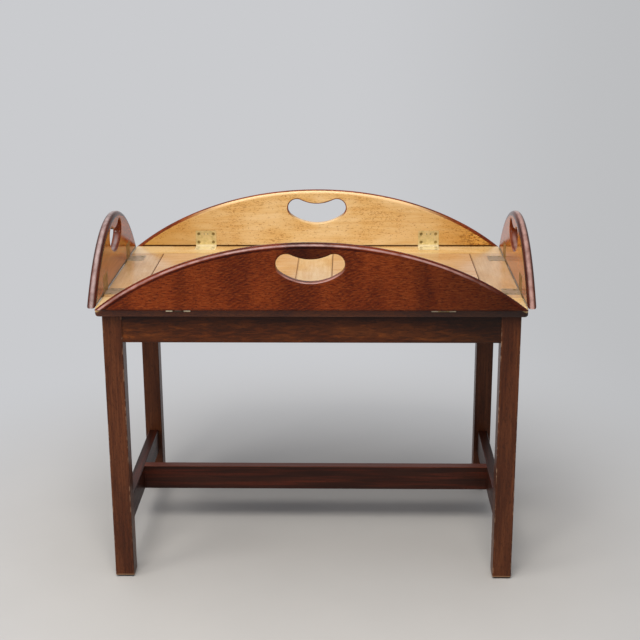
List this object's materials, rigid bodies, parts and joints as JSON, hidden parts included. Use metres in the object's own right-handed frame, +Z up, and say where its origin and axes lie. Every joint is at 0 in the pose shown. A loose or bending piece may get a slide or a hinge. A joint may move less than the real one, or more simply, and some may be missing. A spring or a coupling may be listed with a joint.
{
  "type": "butlers tray table",
  "caption": "Rectangular tray with hinged curved leaves that fold up as sides or down to an oval top, standing on a plain square-legged stand with an H-stretcher.",
  "frame": {"origin": "on the floor under the centre of the table", "axes": "+X along the table's length, +Y to its back, +Z up; leaves upright at rest"},
  "size_m": [0.7038, 0.4408, 0.5788],
  "materials": {
    "stand_wood": "dark polished mahogany",
    "tray_wood": "sun-faded polished mahogany",
    "leaf_wood": "polished mahogany",
    "brass": "dull lacquered brass",
    "spring_steel": "plain rolled",
    "screw_steel": "plain"
  },
  "bodies": {
    "stand": {"apron_front": "stand_wood", "apron_left": "stand_wood", "apron_rear": "stand_wood", "apron_right": "stand_wood", "leg_front_left": "stand_wood", "leg_front_right": "stand_wood", "leg_rear_left": "stand_wood", "leg_rear_right": "stand_wood", "stretcher_center": "stand_wood", "stretcher_left": "stand_wood", "stretcher_right": "stand_wood"},
    "tray": {"cleat_left": "stand_wood", "cleat_right": "stand_wood", "cleat_screws": "screw_steel", "hinge_front_1_tray_plate": "brass", "hinge_front_2_tray_plate": "brass", "hinge_left_1_tray_plate": "brass", "hinge_left_2_tray_plate": "brass", "hinge_rear_1_tray_plate": "brass", "hinge_rear_2_tray_plate": "brass", "hinge_right_1_tray_plate": "brass", "hinge_right_2_tray_plate": "brass", "tray_muntin": "tray_wood", "tray_panel_left": "tray_wood", "tray_panel_right": "tray_wood", "tray_rail_front": "tray_wood", "tray_rail_left": "tray_wood", "tray_rail_rear": "tray_wood", "tray_rail_right": "tray_wood", "tray_screws": "brass"},
    "front_leaf": {"leaf_front": "leaf_wood", "hinge_front_1_leaf_plate": "brass", "hinge_front_2_leaf_plate": "brass", "hinge_pins_front": "brass", "hinge_springs_front": "spring_steel", "leaf_screws_front": "brass"},
    "rear_leaf": {"leaf_rear": "leaf_wood", "hinge_pins_rear": "brass", "hinge_rear_1_leaf_plate": "brass", "hinge_rear_2_leaf_plate": "brass", "hinge_springs_rear": "spring_steel", "leaf_screws_rear": "brass"},
    "left_leaf": {"leaf_left": "leaf_wood", "hinge_left_1_leaf_plate": "brass", "hinge_left_2_leaf_plate": "brass", "hinge_pins_left": "brass", "hinge_springs_left": "spring_steel", "leaf_screws_left": "brass"},
    "right_leaf": {"leaf_right": "leaf_wood", "hinge_pins_right": "brass", "hinge_right_1_leaf_plate": "brass", "hinge_right_2_leaf_plate": "brass", "hinge_springs_right": "spring_steel", "leaf_screws_right": "brass"}
  },
  "joints": [
    {"name": "tray_lift", "type": "slide", "parent": "stand", "child": "tray", "axis": [0, 0, 1], "range_m": [0, 0.1]},
    {"name": "front_leaf_fold", "type": "hinge", "parent": "tray", "child": "front_leaf", "pos_m": [0, -0.2091, 0.4698], "axis": [1, 0, 0], "range_deg": [0, 90]},
    {"name": "rear_leaf_fold", "type": "hinge", "parent": "tray", "child": "rear_leaf", "pos_m": [0, 0.2091, 0.4698], "axis": [-1, 0, 0], "range_deg": [0, 90]},
    {"name": "left_leaf_fold", "type": "hinge", "parent": "tray", "child": "left_leaf", "pos_m": [-0.3406, 0, 0.4698], "axis": [0, -1, 0], "range_deg": [0, 90]},
    {"name": "right_leaf_fold", "type": "hinge", "parent": "tray", "child": "right_leaf", "pos_m": [0.3406, 0, 0.4698], "axis": [0, 1, 0], "range_deg": [0, 90]}
  ]
}
